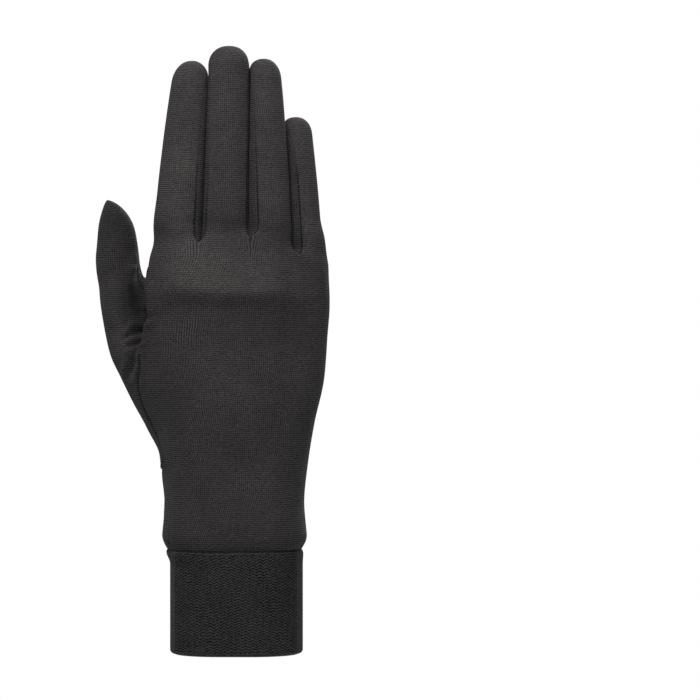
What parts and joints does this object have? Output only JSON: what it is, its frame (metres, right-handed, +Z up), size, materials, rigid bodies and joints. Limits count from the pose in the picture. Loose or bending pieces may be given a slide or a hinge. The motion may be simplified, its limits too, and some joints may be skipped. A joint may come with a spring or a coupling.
{
  "type": "glove liner",
  "caption": "Thin knitted glove liner for the right hand, held upright in its worn shape, with flat seams between the fingers, a set-in thumb and a ribbed cuff.",
  "frame": {"origin": "centre of the cuff's mouth, where the hand goes in", "axes": "+Z up along the fingers, the back of the hand faces -Y, the palm +Y, the thumb is at -X and the little finger at +X"},
  "size_m": [0.101, 0.05, 0.2649],
  "materials": {
    "jersey": "matt fine jersey knit, near black",
    "rib_knit": "matt rib knit, near black"
  },
  "bodies": {
    "root": {"back_panel": "jersey", "palm_panel": "jersey", "fourchette_index_middle": "jersey", "fourchette_middle_ring": "jersey", "fourchette_ring_little": "jersey", "thumb": "jersey", "cuff": "rib_knit"}
  },
  "joints": []
}
